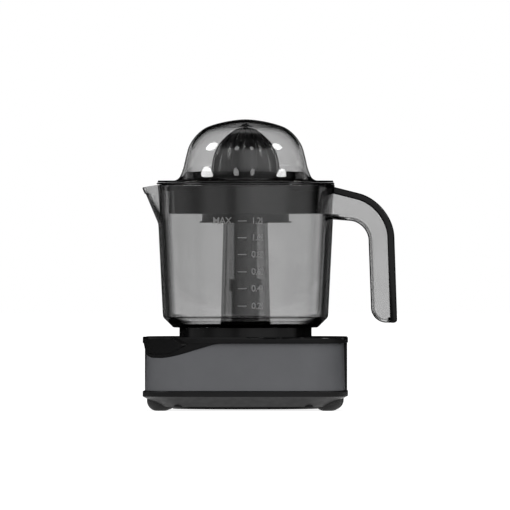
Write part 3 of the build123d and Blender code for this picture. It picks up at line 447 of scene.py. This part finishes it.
tray = turned([
    (71.8, 190.9, 0.2), (71.8, 191.95, 0), (75.5, 191.95, 0.4), (75.5, 193.6, 0.7), (68.0, 193.6, 0.3),
    (68.0, 192.0, 0.2), (66.2, 192.0, 0.3), (64.8, 169.3, 2.0), (35.9, 169.3, 0.5), (35.9, 159.5, 0.3),
    (39.0, 159.5, 0.4), (39.0, 160.7, 0.4), (37.0, 160.7, 0.3), (37.0, 167.1, 0.8), (67.0, 167.1, 1.0),
    (68.0, 190.9, 0.3),
], [(69.8, 186.5, 0.3), (71.8, 186.5, 0.3), (71.8, 190.95, 0), (69.8, 190.95, 0)], steps=360)
for vert in tray.verts:
    x, y, z = from_axis(vert.co)
    if hypot(x, y) > skirt_in and z < skirt_low:
        slope = min(1.0, max(0.0, (front_half - abs(x)) / front_ramp)) if y < 0 else 0.0
        if x < 0 and abs(y) < spout_gap:
            slope = 1.0
        vert.co.z += skirt_cut * slope * mm
for face in tray.faces:
    x, y, z = from_axis(face.calc_center_median())
    face.material_index = int(hypot(x, y) > skirt_in and z < skirt_top or z < outlet_top)
tray = piece("gloss_tray", tray, gloss_black, "tray", "gloss_black", "juice_tray")
tray.data.materials.append(satin_black)


# Cone: the ribbed reamer, a dark moulding pressed on the flats of the drive stem. It is turned hollow
# round a socket, and then its outside is drawn in between the ribs.

ribs = 16
rib_deep, rib_full = 1.4, 12
rib_proud = 0.4

cone_black = moulded("cone_black_plastic", (0.052, 0.052, 0.0525), 0.2, grain=1500, depth=0.000004)
cone = turned([
    (0, 244.2, 0), (7.8, 240.5, 12), (14.4, 234.9, 20), (20.0, 229.4, 25), (23.7, 224.7, 25),
    (27.2, 215.0, 40), (28.8, 205.5, 40), (28.6, 199.6, 0.4), (26.0, 199.6, 0.4), (24.5, 215.0, 30),
    (12.7, 230.0, 8), (12.7, 200.6, 0.3), (10.1, 200.6, 0.3), (10.1, 230.1, 0), (0, 230.1, 0),
], steps=320, closed=False)
for vert in cone.verts:
    x, y, z = from_axis(vert.co)
    r = hypot(x, y)
    outside = r > 25.3 or z > 231 or z > 216 and r > 18
    if outside and r > 0.01:
        part = (atan2(y, x) / (2 * pi) * ribs) % 1.0 - 0.5
        hollow = min(1.0, r / rib_full) * rib_deep * (1 - (2 * part) ** 2)
        scale = 1 + (min(rib_proud, r / 30) - hollow) / r
        vert.co = to_place(x * scale, y * scale, z)
piece("ribbed_cone", cone, cone_black, "reamer", "cone_black", "reamer_cone", sharp=28)


# Dust cover: a thin smoked dome with a flat brim that stands on the tray's rim and keeps the cone clean.
# Its wall is 2 mm thick all over.

smoked_cover = smoked("smoked_clear_cover", 0.71, (0.52, 0.86))
cover = turned([
    (0, 247.3, 0), (16.5, 247.3, 85), (45.67, 235.5, 30), (51.6, 211.5, 60), (53.1, 203.8, 38),
    (57.5, 195.3, 6), (74.6, 195.3, 0.5), (74.6, 193.75, 0.5), (55.9, 193.75, 8), (51.1, 203.3, 38),
    (49.6, 211.2, 58), (43.96, 234.03, 28), (16.11, 245.3, 83), (0, 245.3, 0),
], steps=240, closed=False)
piece("clear_cover", cover, smoked_cover, "cover", "smoky_clear", "dust_cover")


# Surround: a pale floor that keeps the object's shadow, and a white world. Both look white to the camera,
# in gloss and through the jug, and light the object less than that.

def white_for(nt, socket, sight, light):
    """Strength of a white surround as it is seen, also in gloss and through the jug, and as it lights."""
    path = nt.nodes.new("ShaderNodeLightPath")
    mirrored = nt.nodes.new("ShaderNodeMath")
    mirrored.operation = "MAXIMUM"
    nt.links.new(path.outputs["Is Glossy Ray"], mirrored.inputs[0])
    nt.links.new(path.outputs["Is Transmission Ray"], mirrored.inputs[1])
    seen = nt.nodes.new("ShaderNodeMath")
    seen.operation = "MAXIMUM"
    nt.links.new(path.outputs["Is Camera Ray"], seen.inputs[0])
    nt.links.new(mirrored.outputs[0], seen.inputs[1])
    reach(nt, seen.outputs[0], socket, To_Min=light, To_Max=sight)


def set_up(name, bm, finish):
    """Makes a mesh part of the studio."""
    mesh = bpy.data.meshes.new(name)
    bm.to_mesh(mesh)
    bm.free()
    mesh.materials.append(finish)
    obj = bpy.data.objects.new(name, mesh)
    bpy.context.collection.objects.link(obj)
    return obj


def flat_cloth(name, grey):
    """Matt cloth with no shine."""
    finish, nt, skin = new_finish(name)
    skin.inputs["Base Color"].default_value = (grey, grey, grey, 1)
    skin.inputs["Roughness"].default_value = 1.0
    skin.inputs["Specular IOR Level"].default_value = 0.0
    return finish, nt, skin


world = bpy.data.worlds.new("studio")
bpy.context.scene.world = world
world.use_nodes = True
sky = world.node_tree.nodes["Background"]
sky.inputs["Color"].default_value = (1, 1, 1, 1)
white_for(world.node_tree, sky.inputs["Strength"], 1.0, 0.6)

pale, nt, skin = flat_cloth("pale_floor", 0.5)
skin.inputs["Emission Color"].default_value = (1, 1, 1, 1)
white_for(nt, skin.inputs["Emission Strength"], 0.84, 0.0)
sheet = bmesh.new()
bmesh.ops.create_grid(sheet, x_segments=1, y_segments=1, size=12.0)
set_up("floor", sheet, pale)


# Cloths: dark cloth hung round and over the object, which shows only in gloss, so that the blacks stay
# black. Two of them also show to light that comes out of the jug.

def hang(name, spots, start, end, through, finish):
    """Cloth swept from one bearing to another along (distance, height) spots in metres."""
    bm = bmesh.new()
    rounded_wire(bm, [(Vector((0, -r, z)), 0) for r, z in spots], False)
    bmesh.ops.rotate(bm, verts=bm.verts, matrix=Matrix.Rotation(radians(start), 3, "Z"))
    bmesh.ops.spin(bm, geom=bm.verts[:] + bm.edges[:], axis=(0, 0, 1), angle=radians(end - start), steps=48)
    bmesh.ops.remove_doubles(bm, verts=bm.verts, dist=mm)
    cloth = set_up(name, bm, finish)
    cloth.visible_camera = cloth.visible_diffuse = cloth.visible_shadow = False
    cloth.visible_transmission = through


dark, nt, skin = flat_cloth("dark_cloth", 0.01)
hang("tent", [(0.165, 0.002), (3.6, 0.002), (2.6, 4.4), (0, 4.4)], 0, 360, False, dark)
hang("front_flag", [(0.6, 0.003), (3.2, 0.003), (3.2, 0.9)], -115, 115, True, dark)
hang("roof_flag", [(3.3, 0.9), (2.4, 4.2), (0, 4.2)], 0, 360, True, dark)


# Lit screen: a curved screen round the front that shows in gloss and through the jug. Its brightness
# changes smoothly with the bearing from the front, in degrees, and fades out towards its top.

screen_levels = {
    -115: 0.0, -102: 0.35, -82: 0.4, -64: 0.3, -45: 0.6, -30: 0.55, -17: 0.35,
    -4: 0.75, 12: 0.95, 44: 0.9, 62: 0.6, 85: 0.5, 102: 0.0,
}
screen, nt, skin = new_finish("lit_screen")
skin.inputs["Base Color"].default_value = (0, 0, 0, 1)
skin.inputs["Emission Color"].default_value = (1, 1, 1, 1)
place = nt.nodes.new("ShaderNodeTexCoord")
from_front = nt.nodes.new("ShaderNodeMapping")
from_front.inputs["Rotation"].default_value = (0, 0, pi / 2)
nt.links.new(place.outputs["Object"], from_front.inputs["Vector"])
bearing = nt.nodes.new("ShaderNodeTexGradient")
bearing.gradient_type = "RADIAL"
nt.links.new(from_front.outputs["Vector"], bearing.inputs["Vector"])
glow = nt.nodes.new("ShaderNodeValToRGB")
glow.color_ramp.interpolation = "EASE"
while len(glow.color_ramp.elements) < len(screen_levels):
    glow.color_ramp.elements.new(0.5)
for stop, (turn, level) in zip(glow.color_ramp.elements, screen_levels.items()):
    stop.position = 0.5 + turn / 360
    stop.color = (level, level, level, 1)
nt.links.new(bearing.outputs["Fac"], glow.inputs["Fac"])
parts = nt.nodes.new("ShaderNodeSeparateXYZ")
nt.links.new(place.outputs["Object"], parts.inputs["Vector"])
strength = nt.nodes.new("ShaderNodeMath")
strength.operation = "MULTIPLY"
nt.links.new(glow.outputs["Color"], strength.inputs[0])
fade = reach(nt, parts.outputs["Z"], strength.inputs[1], From_Min=0.5, From_Max=0.75, To_Min=1.0, To_Max=0.0)
fade.interpolation_type = "SMOOTHSTEP"
nt.links.new(strength.outputs[0], skin.inputs["Emission Strength"])
hang("lit_front", [(0.6, 0.004), (0.6, 0.32)], -116, 103, True, screen)
hang("lit_high", [(0.6, 0.32), (0.6, 0.75)], -66, 66, True, screen)


# Lamps: two wide ones in front light the object and show in no gloss. The others only show in gloss, as
# the highlights on the dome and the cone.

middle = Vector((axis_x * mm, 0, 0.15))


def lamp(name, turn, lift, distance, size, level, mirrored):
    """Soft lamp of a brightness level, at a bearing from the front and a height angle."""
    turn, lift = radians(turn), radians(lift)
    way = Vector((sin(turn) * cos(lift), -cos(turn) * cos(lift), sin(lift)))
    light = bpy.data.lights.new(name, "AREA")
    light.shape = "RECTANGLE" if size[0] > 0.7 else "ELLIPSE"
    light.size, light.size_y = size
    light.energy = level * pi * size[0] * size[1]
    obj = bpy.data.objects.new(name, light)
    obj.location = middle + way * distance
    obj.rotation_euler = (-way).to_track_quat("-Z", "Y").to_euler()
    obj.visible_glossy = obj.visible_transmission = mirrored
    obj.visible_diffuse = not mirrored
    bpy.context.collection.objects.link(obj)


lamp("front_left", -49, 20, 1.6, (1.2, 1.1), 0.75, False)
lamp("front_right", 20, 20, 1.6, (1.7, 1.1), 0.9, False)
lamp("left", -82, 36, 1.6, (0.62, 0.7), 7, True)
lamp("right", 79, 38, 1.6, (0.48, 0.54), 8, True)
lamp("near_left", -17, 42, 0.5, (0.065, 0.14), 2.2, True)
lamp("near_right", 15, 42, 0.5, (0.05, 0.11), 2.2, True)
lamp("top", 0, 102, 1.6, (0.9, 0.4), 0.6, True)


# Camera: a long lens from 20 m, nearly level with the object and a little to its right, at the photo's
# scale of 0.85 mm a pixel.

photo_scale = 0.00085
photo_side = 510
distance = 20.0
yaw, lift = radians(1.5), radians(0.25)
aim = Vector((-0.0125, 0, 0.132))
lens = bpy.data.cameras.new("camera")
lens.sensor_width = 36
lens.lens = lens.sensor_width * distance / (photo_side * photo_scale)
lens.clip_end = 100
camera = bpy.data.objects.new("camera", lens)
back = Vector((sin(yaw) * cos(lift), -cos(yaw) * cos(lift), sin(lift)))
camera.location = aim + back * distance
camera.rotation_euler = (-back).to_track_quat("-Z", "Y").to_euler()
bpy.context.collection.objects.link(camera)
bpy.context.scene.camera = camera
bpy.context.scene.view_settings.view_transform = "Standard"
